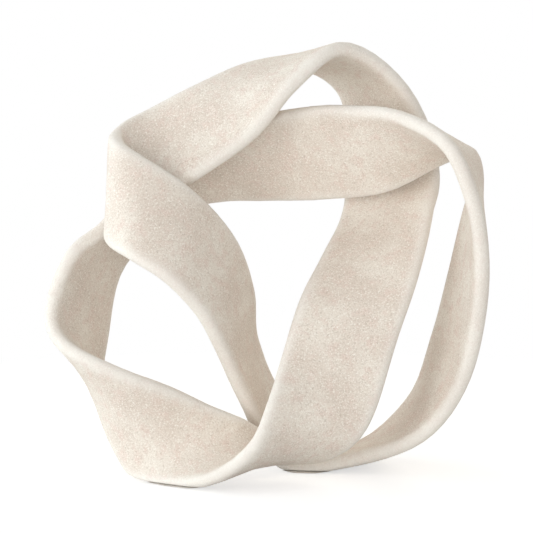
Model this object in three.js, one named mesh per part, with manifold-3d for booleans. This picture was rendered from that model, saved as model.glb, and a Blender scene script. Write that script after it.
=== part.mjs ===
// Knot sculpture: one flat band tied in a three-lobed over-and-under knot that stands on edge.
// Lengths are millimetres, +Z is up and the open lobes face -Y.
import * as THREE from "three";
import { mergeVertices } from "three/addons/utils/BufferGeometryUtils.js";
import Module from "manifold-3d";

const wasm = await Module();
wasm.setup();

// The band's own section: a flat bar whose four corners are rounded into full rims.
const BAND_WIDTH = 54;
const BAND_THICKNESS = 8;
const RIM_RADIUS = 3.6;
const RIM_STEPS = 3;
const FACE_STEPS = 3;

// Each lobe's route starts where it passes over its neighbour, runs along the middle opening,
// dives under the next lobe and then swings out round its own opening.
// A station is the middle of one rounded rim, the rim that the knot stands on, and the
// direction across the band towards it from the other rim.
const RIGHT_LOBE = [
  { rim: [-42, 13, 148.5], across: [0.4, 0.4, 0.85] },
  { rim: [-15, 17, 121.5], across: [0.55, 0.5, 0.65] },
  { rim: [1, 29, 92.5], across: [0.6, 0.65, 0.5] },
  { rim: [9, 41, 63.5], across: [0.4, 0.75, 0.5] },
  { rim: [29, 44, 26.5], across: [0.4, 0.8, 0.45] },
  { rim: [61, 30, 3.5], across: [0.35, 0.95, -0.1] },
  { rim: [87, 5, 32.5], across: [0.35, 0.9, 0.2] },
  { rim: [93, -11, 68.5], across: [0.2, 0.9, 0.4] },
  { rim: [97, -20, 99.5], across: [0.2, 0.95, 0.35] },
  { rim: [101, -26, 128.5], across: [0.3, 0.9, 0.25] },
  { rim: [105, -29, 151.5], across: [0.5, 0.85, 0.15] },
  { rim: [101, -26, 166.5], across: [0.65, 0.75, -0.15] },
  { rim: [89, -17, 162.5], across: [0.7, 0.5, -0.5] },
];
const FOOT_LOBE = [
  { rim: [68, -7, 150.5], across: [0.5, 0.3, -0.8] },
  { rim: [40, 17, 144.5], across: [0.25, 0.3, -0.9] },
  { rim: [20, 41, 142.5], across: [0.45, 0.35, -0.85] },
  { rim: [-2, 57, 140.5], across: [0.8, 0.2, -0.6] },
  { rim: [-27, 62, 131.5], across: [0.9, 0.4, 0] },
  { rim: [-56, 69, 105.5], across: [0.75, 0.6, -0.2] },
  { rim: [-69, 60, 69.5], across: [0.8, 0.55, -0.35] },
  { rim: [-74, 52, 45.5], across: [0.55, 0.65, -0.5] },
  { rim: [-71, 30, 15.5], across: [0, 0.55, -0.8] },
  { rim: [-64, 11, 4], across: [-0.7, 0.25, -0.7] },
  { rim: [-43, -21, 5.5], across: [-0.85, -0.4, -0.3] },
  { rim: [-25, -40, 23.5], across: [-0.85, -0.45, 0.25] },
  { rim: [-13, -37, 43.5], across: [-0.9, 0.05, 0.4] },
];
const TOP_LOBE = [
  { rim: [-1, -26, 61.5], across: [-0.85, 0.4, 0.35] },
  { rim: [15, -15, 91.5], across: [-0.8, 0.5, 0.25] },
  { rim: [35, 1, 111.5], across: [-0.7, 0.7, 0.05] },
  { rim: [56, 20, 132.5], across: [-0.55, 0.85, -0.05] },
  { rim: [65, 34, 165.5], across: [-0.6, 0.75, 0.15] },
  { rim: [64, 43, 195.5], across: [-0.2, 0.95, -0.1] },
  { rim: [40, 44, 210.5], across: [0, 1, -0.2] },
  { rim: [10, 44, 208.5], across: [-0.05, 1, 0.15] },
  { rim: [-20, 47, 196.5], across: [-0.25, 0.85, 0.45] },
  { rim: [-42, 54, 184.5], across: [-0.05, 0.7, 0.7] },
  { rim: [-62, 49, 176.5], across: [0.05, 0.4, 0.9] },
  { rim: [-70, 30, 170.5], across: [0.15, 0.15, 0.95] },
  { rim: [-60, 19, 161.5], across: [0.3, 0.3, 0.9] },
];
const LOBES = [RIGHT_LOBE, FOOT_LOBE, TOP_LOBE];

// Where the stations lie along a lobe, as shares of it: closer together in the folds.
const LOBE_PLACES = [
  0, 0.09, 0.18, 0.27, 0.36, 0.45, 0.54, 0.62, 0.7, 0.77, 0.83, 0.89, 0.945,
];
const ROUTE = LOBES.flatMap((lobe, turn) =>
  lobe.map((station, index) => ({ ...station, place: turn + LOBE_PLACES[index] })),
);
const RINGS_PER_LOBE = 60;

// Where the arcs meet, on the straightest length of each lobe behind the strand in front of it,
// and the pins across each joint.
const JOINT_PLACES = [0.3, 0.43, 0.28];
const JOINT_GAP = 0.35;
const PIN_DIAMETER = 3;
const PIN_LENGTH = 16;
const PIN_SPACING = 20;
const PIN_CLEARANCE = 0.3;
const PIN_SIDES = 12;

// The strand behind, as far as the strand in front lies on it, and the glue line between them.
const SEAT_FROM = 0.12;
const SEAT_TO = 0.58;
const SEAT_GAP = 0.3;

// Felt pads on the ground under the rims that stand on it, cut to the outline of the band.
const PAD_THICKNESS = 1;
const PAD_GAP = 0.3;
const PAD_LENGTH = 30;
const PAD_DEPTH = 24;
const PADS = [
  { name: "front_pad", arc: "foot_arc", place: 1.8, rim: 1 },
  { name: "middle_pad", arc: "right_arc", place: 0.39, rim: -1 },
  { name: "back_pad", arc: "right_arc", place: 0.44, rim: 1 },
];

const STONE = { color: 0xd9cfc4, roughness: 0.9, metalness: 0 };
const STEEL = { color: 0xb4b8bc, roughness: 0.35, metalness: 1 };
const FELT = { color: 0xcfc6ba, roughness: 1, metalness: 0 };

// A station any number of steps along the closed route, with its place counted on past the end.
function stationAt(step, key) {
  const round = Math.floor(step / ROUTE.length);
  const station = ROUTE[step - round * ROUTE.length];
  return {
    place: station.place + round * LOBES.length,
    value: new THREE.Vector3(...station[key]),
  };
}

// The slope at the middle one of three stations.
function slopeAt(before, here, after) {
  const back = here.place - before.place;
  const on = after.place - here.place;
  const slope = here.value.clone().sub(before.value).multiplyScalar(on / back);
  slope.addScaledVector(after.value.clone().sub(here.value), back / on);
  return slope.divideScalar(back + on);
}

// A closed smooth curve through one vector of every station.
function smooth(key, place) {
  const round = Math.floor(place / LOBES.length);
  const wrapped = place - round * LOBES.length;
  const step = ROUTE.findLastIndex((station) => station.place <= wrapped);
  const [before, here, next, after] = [-1, 0, 1, 2].map((on) => stationAt(step + on, key));
  const span = next.place - here.place;
  const u = (wrapped - here.place) / span;
  return new THREE.Vector3()
    .addScaledVector(here.value, 1 + u * u * (2 * u - 3))
    .addScaledVector(next.value, u * u * (3 - 2 * u))
    .addScaledVector(slopeAt(before, here, next), span * u * (u - 1) * (u - 1))
    .addScaledVector(slopeAt(here, next, after), span * u * u * (u - 1));
}

const RIM_FROM_MIDDLE = (BAND_WIDTH - BAND_THICKNESS) / 2;
const NEAR = 0.5 / RINGS_PER_LOBE;

function acrossAt(place) {
  return smooth("across", place).normalize();
}

function middleAt(place) {
  return smooth("rim", place).addScaledVector(acrossAt(place), -RIM_FROM_MIDDLE);
}

// The band's middle, its way along, its width direction and its face direction.
function frameAt(place) {
  const middle = middleAt(place);
  const across = acrossAt(place);
  const along = middleAt(place + NEAR).sub(middleAt(place - NEAR)).normalize();
  const face = new THREE.Vector3().crossVectors(along, across).normalize();
  return { middle, along, across, face };
}

// The outline of the section as pairs across the width and through the thickness: a rounded
// rim, one wide face in a few steps, so that it bends smoothly where it twists, and the same
// again on the other side.
function sectionOutline(grow) {
  const radius = RIM_RADIUS + grow;
  const half = BAND_WIDTH / 2 + grow - radius;
  const flat = BAND_THICKNESS / 2 + grow - radius;
  return [1, -1].flatMap((side) => {
    const quarterOf = (width, turn) =>
      Array.from({ length: RIM_STEPS + 1 }, (_, step) => {
        const angle = ((turn + step / RIM_STEPS) * Math.PI) / 2;
        return [
          side * (width + radius * Math.cos(angle)),
          side * (flat + radius * Math.sin(angle)),
        ];
      });
    const face = Array.from({ length: FACE_STEPS - 1 }, (_, step) => [
      side * half * (1 - (2 * (step + 1)) / FACE_STEPS),
      side * (flat + radius),
    ]);
    return [...quarterOf(half, 0), ...face, ...quarterOf(-half, 1)];
  });
}

// A closed length of band between two places on the route.
function bandLength(from, to, grow) {
  const rings = Math.ceil((to - from) * RINGS_PER_LOBE);
  const outline = sectionOutline(grow);
  const sides = outline.length;
  const points = [];
  for (let ring = 0; ring <= rings; ring++) {
    const { middle, across, face } = frameAt(from + ((to - from) * ring) / rings);
    for (const [width, depth] of outline)
      points.push(
        middle.clone().addScaledVector(across, width).addScaledVector(face, depth),
      );
  }
  const faces = [];
  for (let ring = 0; ring < rings; ring++)
    for (let side = 0; side < sides; side++) {
      const a = ring * sides + side;
      const b = ring * sides + ((side + 1) % sides);
      faces.push([a, b, b + sides], [a, b + sides, a + sides]);
    }
  const last = rings * sides;
  for (let side = 1; side < sides - 1; side++)
    faces.push([0, side + 1, side], [last, last + side, last + side + 1]);
  const geometry = new THREE.BufferGeometry().setFromPoints(points);
  return solidOf(geometry.setIndex(faces.flat()));
}

function solidOf(geometry) {
  const bare = geometry.clone();
  bare.deleteAttribute("normal");
  bare.deleteAttribute("uv");
  const merged = mergeVertices(bare, 1e-4);
  return new wasm.Manifold(
    new wasm.Mesh({
      numProp: 3,
      vertProperties: merged.attributes.position.array,
      triVerts: new Uint32Array(merged.index.array),
    }),
  );
}

function blockSolid({ x, y, z, length, depth, height }) {
  return solidOf(new THREE.BoxGeometry(length, depth, height).translate(x, y, z));
}

// A round rod through a joint, off the band's middle line by a share of the pin spacing.
function rodSolid(joint, side, diameter, length) {
  const { middle, along, across } = frameAt(joint);
  const rod = new THREE.CylinderGeometry(diameter / 2, diameter / 2, length, PIN_SIDES);
  const turned = new THREE.Quaternion().setFromUnitVectors(
    new THREE.Vector3(0, 1, 0),
    along,
  );
  const place = middle.addScaledVector(across, (side * PIN_SPACING) / 2);
  return solidOf(rod.applyQuaternion(turned).translate(place.x, place.y, place.z));
}

function meshOf(name, solid, look) {
  const { vertProperties, triVerts, numProp } = solid.getMesh();
  const geometry = new THREE.BufferGeometry();
  const points = Array.from({ length: vertProperties.length / numProp }, (_, i) =>
    new THREE.Vector3().fromArray(vertProperties, i * numProp),
  );
  geometry.setFromPoints(points).setIndex([...triVerts]);
  geometry.computeVertexNormals();
  const mesh = new THREE.Mesh(geometry, new THREE.MeshStandardMaterial(look));
  mesh.name = name;
  return mesh;
}

const knot = new THREE.Group();
knot.name = "knot_sculpture";

const ARCS = ["right_arc", "foot_arc", "top_arc"];
const joints = ARCS.map((_, lobe) => lobe + JOINT_PLACES[lobe]);
const halfGaps = joints.map((joint) => {
  const { along, across } = frameAt(joint);
  const travel = middleAt(joint + NEAR).distanceTo(middleAt(joint - NEAR)) / (2 * NEAR);
  return JOINT_GAP / 2 / travel / along.cross(across).length();
});

const pinHoles = joints.map((joint) =>
  [-1, 1].map((side) =>
    rodSolid(
      joint,
      side,
      PIN_DIAMETER + 2 * PIN_CLEARANCE,
      PIN_LENGTH + 2 * PIN_CLEARANCE,
    ),
  ),
);

// Everything below the felt, wide enough to reach past the whole knot.
const underground = blockSolid({
  x: 0,
  y: 0,
  z: (PAD_THICKNESS + PAD_GAP) / 2 - 20,
  length: 400,
  depth: 400,
  height: PAD_THICKNESS + PAD_GAP + 40,
});

// An arc runs from one joint to the next, rests on the strand that it crosses in front of,
// and carries half of each pin hole.
const whole = {};
ARCS.forEach((name, lobe) => {
  const next = (lobe + 1) % ARCS.length;
  const end = lobe + 1 + JOINT_PLACES[next];
  whole[name] = bandLength(joints[lobe] + halfGaps[lobe], end - halfGaps[next], 0);
  const behind = lobe + 2;
  const strandBehind = bandLength(behind + SEAT_FROM, behind + SEAT_TO, SEAT_GAP);
  let arc = whole[name].subtract(strandBehind).subtract(underground);
  for (const hole of [...pinHoles[lobe], ...pinHoles[next]]) arc = arc.subtract(hole);
  knot.add(meshOf(name, arc, STONE));
});

joints.forEach((joint, lobe) => {
  [-1, 1].forEach((side, index) => {
    const name = ARCS[lobe].replace("arc", "pin_") + (index + 1);
    knot.add(meshOf(name, rodSolid(joint, side, PIN_DIAMETER, PIN_LENGTH), STEEL));
  });
});

for (const { name, arc, place, rim } of PADS) {
  const { middle, across } = frameAt(place);
  const { x, y } = middle.addScaledVector(across, rim * RIM_FROM_MIDDLE);
  const felt = blockSolid({
    x,
    y,
    z: PAD_THICKNESS / 2,
    length: PAD_LENGTH,
    depth: PAD_DEPTH,
    height: PAD_THICKNESS,
  });
  knot.add(meshOf(name, whole[arc].intersect(felt), FELT));
}

export default knot;
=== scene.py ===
"""Knot sculpture: the cast band as one sandy stone skin, on felt pads, in soft studio light."""

import math
from collections import namedtuple

import bmesh
import bpy
import numpy as np
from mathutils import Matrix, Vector


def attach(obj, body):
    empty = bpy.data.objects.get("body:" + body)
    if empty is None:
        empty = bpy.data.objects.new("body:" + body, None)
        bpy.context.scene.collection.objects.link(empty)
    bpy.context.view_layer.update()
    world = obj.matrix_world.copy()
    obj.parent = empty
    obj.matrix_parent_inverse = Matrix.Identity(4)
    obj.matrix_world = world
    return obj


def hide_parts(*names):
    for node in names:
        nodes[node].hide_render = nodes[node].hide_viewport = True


MM = 0.001

# The photograph's viewpoint round the object, in degrees, and a lens that frames it as closely.
VIEW_AZIMUTH = 23.9
VIEW_ELEVATION = 6.85
VIEW_DISTANCE = 1288 * MM
VIEW_AIM = Vector((-0.7, 0.2, 109.1)) * MM
SENSOR_WIDTH = 36
LENS = 169.9

# The arcs' skin is grown a little to close the glue lines, laid on a grid, smoothed,
# and drawn back to size.
ARCS = ("right_arc", "foot_arc", "top_arc")
WELD = 0.01 * MM
GROWTH = 0.5 * MM
GRID = 0.9 * MM

# One round of averaging moves a vertex halfway to its neighbours' mean. The step back after it
# keeps the size while the grid's steps are evened out.
HALFWAY = 0.5
STEP_BACK = -0.52
EVEN_ROUNDS = 8
BROAD_ROUNDS = 60
FILLET_ROUNDS = 6
DEEPEST_FILLET = 2 * MM
RIM_RISE = 1.3 * MM
RIM_BLUR_ROUNDS = 20

# A speckle is a noise with scale cells in a metre. It covers nothing up to the low value of the
# noise, and everything from the high value on.
Speckle = namedtuple("Speckle", "scale detail roughness low high")
Bump = namedtuple("Bump", "strength depth")

# The stone, from its ground to its grains, then its rims lightened as painted highlight and its
# crevices darkened as painted shade.
TAN_GROUND = (0.710, 0.630, 0.555, 1)
PALE_GROUND = (0.800, 0.745, 0.670, 1)
ROSY_GROUND = (0.735, 0.625, 0.555, 1)
DARK_GRAIN = (0.42, 0.345, 0.275, 1)
PALE_GRAIN = (0.98, 0.955, 0.90, 1)
PALE_CLOUDS = Speckle(scale=40, detail=3, roughness=0.5, low=0.38, high=0.62)
ROSY_PATCHES = Speckle(scale=170, detail=2, roughness=0.5, low=0.48, high=0.72)
DARK_GRAINS = Speckle(scale=1000, detail=2, roughness=0.7, low=0.50, high=0.95)
PALE_GRAINS = Speckle(scale=1350, detail=1, roughness=0.5, low=0.50, high=0.85)
STONE_BUMP = Bump(strength=0.25, depth=0.3 * MM)
STONE_ROUGHNESS = 0.85
# Painted highlight: the rims are lightened toward this pale colour, standing in for the light
# that catches them.
PAINTED_RIM_HIGHLIGHT = (0.88, 0.865, 0.825, 1)
RIM_HIGHLIGHT_START = 0.08
RIM_HIGHLIGHT_FULL = 1.1
# Painted shade: crevices and hollows between the strands are darkened to tan by ambient
# occlusion, standing in for shade.
PAINTED_CREVICE_SHADE = (0.42, 0.32, 0.23, 1)
CREVICE_REACH = 10 * MM
CREVICE_SAMPLES = 8
SHUT_IN = 0.25
OPEN_ENOUGH = 0.85

FELT_DARK = (0.68, 0.63, 0.57, 1)
FELT_PALE = (0.80, 0.76, 0.70, 1)
FELT_FIBRES = Speckle(scale=2200, detail=4, roughness=0.8, low=0.35, high=0.65)
FELT_BUMP = Bump(strength=0.6, depth=0.2 * MM)

STEEL_DARK = (0.42, 0.43, 0.45, 1)
STEEL_BRIGHT = (0.52, 0.53, 0.55, 1)
STEEL_MOTTLE = Speckle(scale=3000, detail=2, roughness=0.5, low=0.4, high=0.6)
STEEL_ROUGHNESS = 0.32

# To the camera the floor is white by its own glow, its shaded share carries the shadow, and it
# fades to plain white between the two distances, in metres. Other rays meet a plain pale floor.
FLOOR_SIZE = 12
FLOOR_PAINT = 0.85
FLOOR_GLOW = 0.60
FLOOR_SHADE = 0.58
FADE_START = 0.22
FADE_END = 0.42

# Soft light from all round, and large lamps that face the object's middle.
SOFT_LIGHT = 0.47
SOFT_COLOUR = (1, 0.975, 0.935, 1)
WHITE = (1, 1, 1, 1)
LAMP_SIZE = 1.0
LAMP_DISTANCE = 1.7
LAMP_AIM = Vector((0, 0, 0.11))
WARM_WHITE = (1, 0.92, 0.78)
PLAIN_WHITE = (1, 0.98, 0.96)
COOL_WHITE = (0.82, 0.94, 1)

# Each lamp's name, turn to the right of the camera and rise in degrees, watts, and colour.
LAMPS = (
    ("lamp_front", 0, 8, 8, PLAIN_WHITE),
    ("lamp_front_left", -45, 5, 10, PLAIN_WHITE),
    ("lamp_left", -90, 5, 12, COOL_WHITE),
    ("lamp_back_left", -120, 35, 3, PLAIN_WHITE),
    ("lamp_back_right", 150, 35, 8, WARM_WHITE),
    ("lamp_top", 0, 85, 2, COOL_WHITE),
)

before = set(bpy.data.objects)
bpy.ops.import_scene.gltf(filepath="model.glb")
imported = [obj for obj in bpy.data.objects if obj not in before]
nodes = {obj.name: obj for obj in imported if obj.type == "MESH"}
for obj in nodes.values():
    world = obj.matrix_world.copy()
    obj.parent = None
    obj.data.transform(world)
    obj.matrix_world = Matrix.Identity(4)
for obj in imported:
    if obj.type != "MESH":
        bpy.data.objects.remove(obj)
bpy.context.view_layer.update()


def collect(names):
    """One mesh holding copies of the named solids."""
    joined = bmesh.new()
    for name in names:
        joined.from_mesh(nodes[name].data)
    mesh = bpy.data.meshes.new("stone_skin")
    joined.to_mesh(mesh)
    joined.free()
    return mesh


def merge_by_distance(mesh, distance):
    welded = bmesh.new()
    welded.from_mesh(mesh)
    bmesh.ops.remove_doubles(welded, verts=welded.verts, dist=distance)
    bmesh.ops.recalc_face_normals(welded, faces=welded.faces)
    welded.to_mesh(mesh)
    welded.free()


def shift_along_normals(mesh, distance):
    mesh.update()
    normals = [Vector(v.normal) for v in mesh.vertices]
    for vertex, normal in zip(mesh.vertices, normals):
        vertex.co += normal * distance
    mesh.update()


def apply_modifiers(obj):
    graph = bpy.context.evaluated_depsgraph_get()
    done = bpy.data.meshes.new_from_object(obj.evaluated_get(graph))
    obj.modifiers.clear()
    obj.data = done


def vertex_values(mesh, key):
    """The vertices' places or normals as rows of x, y and z."""
    values = np.empty(len(mesh.vertices) * 3, dtype=np.float32)
    mesh.vertices.foreach_get(key, values)
    return values.reshape(-1, 3).astype(float)


def write_places(mesh, place):
    mesh.vertices.foreach_set("co", place.astype(np.float32).ravel())
    mesh.update()


def averager(mesh):
    """A function that moves each vertex value a share of the way to its neighbours' mean."""
    ends = np.empty(len(mesh.edges) * 2, dtype=np.int32)
    mesh.edges.foreach_get("vertices", ends)
    first = np.concatenate((ends[0::2], ends[1::2]))
    second = np.concatenate((ends[1::2], ends[0::2]))
    count = len(mesh.vertices)
    degree = np.bincount(first, minlength=count)[:, None]

    def average(values, share):
        around = [
            np.bincount(first, weights=values[second, column], minlength=count)
            for column in range(values.shape[1])
        ]
        return values + share * (np.stack(around, 1) / degree - values)

    return average


def blurred(average, values, rounds):
    for _ in range(rounds):
        values = average(values, HALFWAY)
    return values


def soften(mesh):
    """Evens the grid's steps out, fills the inside corners, and marks the rims."""
    average = averager(mesh)
    place = vertex_values(mesh, "co")
    for _ in range(EVEN_ROUNDS):
        place = average(average(place, HALFWAY), STEP_BACK)
    write_places(mesh, place)
    outward = vertex_values(mesh, "normal")
    broad = blurred(average, place, BROAD_ROUNDS)
    rise = ((place - broad) * outward).sum(1, keepdims=True)
    filled = place + outward * np.clip(-rise, 0, DEEPEST_FILLET)
    write_places(mesh, blurred(average, filled, FILLET_ROUNDS))
    # The rim mark sets where the stone is lightened as painted highlight.
    rim = blurred(average, np.clip(rise / RIM_RISE, 0, 1), RIM_BLUR_ROUNDS)
    mark = mesh.attributes.new("rim", "FLOAT", "POINT")
    mark.data.foreach_set("value", rim.astype(np.float32).ravel())


def stone_skin():
    """The three arcs as one unbroken cast skin with soft inside corners."""
    mesh = collect(ARCS)
    merge_by_distance(mesh, WELD)
    shift_along_normals(mesh, GROWTH)
    skin = bpy.data.objects.new("stone_skin", mesh)
    bpy.context.scene.collection.objects.link(skin)
    grid = skin.modifiers.new("grid", "REMESH")
    grid.mode = "VOXEL"
    grid.voxel_size = GRID
    apply_modifiers(skin)
    soften(skin.data)
    shift_along_normals(skin.data, -GROWTH)
    for polygon in skin.data.polygons:
        polygon.use_smooth = True
    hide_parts(*ARCS)
    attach(skin, "root")
    return skin


def new_material(name):
    material = bpy.data.materials.new(name)
    material.use_nodes = True
    tree = material.node_tree
    return material, tree, tree.nodes["Principled BSDF"]


def add(tree, kind, **settings):
    node = tree.nodes.new(kind)
    for key, value in settings.items():
        setattr(node, key, value)
    return node


def object_place(tree):
    return add(tree, "ShaderNodeTexCoord").outputs["Object"]


def mix_colours(tree, share, first, second):
    """A mix of two colours, each a socket or a plain value, by a share from a socket."""
    mix = add(tree, "ShaderNodeMix", data_type="RGBA", blend_type="MIX")
    tree.links.new(share, mix.inputs["Factor"])
    # The node also has numbers and vectors named A and B, so its colours go by their places.
    first_colour, second_colour, mixed_colour = mix.inputs[6], mix.inputs[7], mix.outputs[2]
    for value, socket in ((first, first_colour), (second, second_colour)):
        if isinstance(value, bpy.types.NodeSocket):
            tree.links.new(value, socket)
        else:
            socket.default_value = value
    return mixed_colour


def mix_shaders(tree, share, first, second):
    mix = add(tree, "ShaderNodeMixShader")
    for index, socket in enumerate((share, first, second)):
        tree.links.new(socket, mix.inputs[index])
    return mix.outputs[0]


def ramp(tree, source, low, high):
    """0 below low, 1 above high, straight between."""
    spread = add(tree, "ShaderNodeMapRange", clamp=True)
    tree.links.new(source, spread.inputs["Value"])
    spread.inputs["From Min"].default_value = low
    spread.inputs["From Max"].default_value = high
    return spread.outputs["Result"]


def speckle(tree, place, kind):
    """The speckle's noise, and the share of it that covers each point."""
    texture = add(tree, "ShaderNodeTexNoise")
    texture.inputs["Scale"].default_value = kind.scale
    texture.inputs["Detail"].default_value = kind.detail
    texture.inputs["Roughness"].default_value = kind.roughness
    tree.links.new(place, texture.inputs["Vector"])
    noise = texture.outputs["Fac"]
    return noise, ramp(tree, noise, kind.low, kind.high)


def add_bump(tree, shader, height, kind):
    bump = add(tree, "ShaderNodeBump")
    bump.inputs["Strength"].default_value = kind.strength
    bump.inputs["Distance"].default_value = kind.depth
    tree.links.new(height, bump.inputs["Height"])
    tree.links.new(bump.outputs["Normal"], shader.inputs["Normal"])


def sandy_stone():
    """Cream cast stone: pale sugary grains, faint clouding, rims lightened as painted highlight,
    and crevices darkened with tan painted shade.
    """
    material, tree, shader = new_material("sandy_stone")
    place = object_place(tree)
    _, cloudy = speckle(tree, place, PALE_CLOUDS)
    _, rosy = speckle(tree, place, ROSY_PATCHES)
    grain_noise, dark_grained = speckle(tree, place, DARK_GRAINS)
    _, pale_grained = speckle(tree, place, PALE_GRAINS)
    colour = mix_colours(tree, cloudy, TAN_GROUND, PALE_GROUND)
    colour = mix_colours(tree, rosy, colour, ROSY_GROUND)
    colour = mix_colours(tree, dark_grained, colour, DARK_GRAIN)
    colour = mix_colours(tree, pale_grained, colour, PALE_GRAIN)
    rim = add(tree, "ShaderNodeAttribute", attribute_name="rim").outputs["Fac"]
    # Painted highlight: lightens the stone along the rims.
    colour = mix_colours(tree, ramp(tree, rim, RIM_HIGHLIGHT_START, RIM_HIGHLIGHT_FULL), colour, PAINTED_RIM_HIGHLIGHT)
    # Painted shade: darkens the colour toward tan where nearby stone shuts the surface in.
    room = add(tree, "ShaderNodeAmbientOcclusion", samples=CREVICE_SAMPLES, only_local=True)
    room.inputs["Distance"].default_value = CREVICE_REACH
    open_share = ramp(tree, room.outputs["AO"], SHUT_IN, OPEN_ENOUGH)
    colour = mix_colours(tree, open_share, PAINTED_CREVICE_SHADE, colour)
    tree.links.new(colour, shader.inputs["Base Color"])
    shader.inputs["Roughness"].default_value = STONE_ROUGHNESS
    add_bump(tree, shader, grain_noise, STONE_BUMP)
    return material


def felt():
    """Pressed pale felt with a fibrous bump."""
    material, tree, shader = new_material("felt")
    fibre_noise, fibrous = speckle(tree, object_place(tree), FELT_FIBRES)
    colour = mix_colours(tree, fibrous, FELT_DARK, FELT_PALE)
    tree.links.new(colour, shader.inputs["Base Color"])
    shader.inputs["Roughness"].default_value = 1.0
    add_bump(tree, shader, fibre_noise, FELT_BUMP)
    return material


def drawn_steel():
    """Bright dowel steel with a fine mottle."""
    material, tree, shader = new_material("drawn_steel")
    _, mottled = speckle(tree, object_place(tree), STEEL_MOTTLE)
    colour = mix_colours(tree, mottled, STEEL_DARK, STEEL_BRIGHT)
    tree.links.new(colour, shader.inputs["Base Color"])
    shader.inputs["Metallic"].default_value = 1.0
    shader.inputs["Roughness"].default_value = STEEL_ROUGHNESS
    return material


def dress(obj, material):
    obj.data.materials.clear()
    obj.data.materials.append(material)


def seen_floor(tree):
    """What the camera sees of the floor: white, except where the object shades it."""
    shaded = add(tree, "ShaderNodeBsdfDiffuse")
    shaded.inputs["Color"].default_value = (FLOOR_SHADE, FLOOR_SHADE, FLOOR_SHADE, 1)
    glow = add(tree, "ShaderNodeEmission")
    glow.inputs["Strength"].default_value = FLOOR_GLOW
    near = add(tree, "ShaderNodeAddShader")
    tree.links.new(shaded.outputs[0], near.inputs[0])
    tree.links.new(glow.outputs[0], near.inputs[1])
    far = add(tree, "ShaderNodeEmission")
    distance = add(tree, "ShaderNodeVectorMath", operation="LENGTH")
    tree.links.new(object_place(tree), distance.inputs[0])
    fade = ramp(tree, distance.outputs["Value"], FADE_START, FADE_END)
    return mix_shaders(tree, fade, near.outputs[0], far.outputs[0])


def white_floor():
    bpy.ops.mesh.primitive_plane_add(size=FLOOR_SIZE)
    floor = bpy.context.object
    floor.name = "floor"
    material, tree, paint = new_material("floor_white")
    paint.inputs["Base Color"].default_value = (FLOOR_PAINT, FLOOR_PAINT, FLOOR_PAINT, 1)
    paint.inputs["Roughness"].default_value = 1.0
    paint.inputs["Specular IOR Level"].default_value = 0.0
    rays = add(tree, "ShaderNodeLightPath")
    surface = mix_shaders(tree, rays.outputs["Is Camera Ray"], paint.outputs[0], seen_floor(tree))
    tree.links.new(surface, tree.nodes["Material Output"].inputs["Surface"])
    dress(floor, material)


def toward(turn, rise):
    """A direction from the object, turned to the right of the camera's side, and raised."""
    heading = math.radians(VIEW_AZIMUTH - turn)
    rise = math.radians(rise)
    return Vector(
        (
            -math.sin(heading) * math.cos(rise),
            -math.cos(heading) * math.cos(rise),
            math.sin(rise),
        )
    )


def place_facing(obj, aim, away, distance):
    """Puts a lamp or camera away from its aim, and turns it to look at the aim."""
    obj.location = aim + away * distance
    obj.rotation_mode = "QUATERNION"
    obj.rotation_quaternion = (-away).to_track_quat("-Z", "Y")
    bpy.context.scene.collection.objects.link(obj)


def studio_light():
    for name, turn, rise, power, colour in LAMPS:
        data = bpy.data.lights.new(name, "AREA")
        data.shape = "DISK"
        data.size = LAMP_SIZE
        data.energy = power
        data.color = colour
        lamp = bpy.data.objects.new(name, data)
        place_facing(lamp, LAMP_AIM, toward(turn, rise), LAMP_DISTANCE)


def light_from(node, colour, strength):
    node.inputs["Color"].default_value = colour
    node.inputs["Strength"].default_value = strength
    return node.outputs[0]


def white_world():
    """Soft light from all round, which the camera and glossy rays see as plain white."""
    world = bpy.data.worlds.new("white_world")
    bpy.context.scene.world = world
    world.use_nodes = True
    tree = world.node_tree
    soft = light_from(tree.nodes["Background"], SOFT_COLOUR, SOFT_LIGHT)
    seen = light_from(add(tree, "ShaderNodeBackground"), WHITE, 1.0)
    rays = add(tree, "ShaderNodeLightPath")
    either = add(tree, "ShaderNodeMath", operation="MAXIMUM")
    tree.links.new(rays.outputs["Is Camera Ray"], either.inputs[0])
    tree.links.new(rays.outputs["Is Glossy Ray"], either.inputs[1])
    surface = mix_shaders(tree, either.outputs[0], soft, seen)
    tree.links.new(surface, tree.nodes["World Output"].inputs["Surface"])


def photo_camera():
    data = bpy.data.cameras.new("photo_camera")
    data.sensor_width = SENSOR_WIDTH
    data.lens = LENS
    camera = bpy.data.objects.new("photo_camera", data)
    place_facing(camera, VIEW_AIM, toward(0, VIEW_ELEVATION), VIEW_DISTANCE)
    bpy.context.scene.camera = camera


dress(stone_skin(), sandy_stone())
steel_look, felt_look = drawn_steel(), felt()
for name, node in nodes.items():
    if "_pin_" in name:
        dress(node, steel_look)
    elif name.endswith("_pad"):
        dress(node, felt_look)

white_floor()
white_world()
studio_light()
photo_camera()
bpy.context.scene.view_settings.view_transform = "Standard"
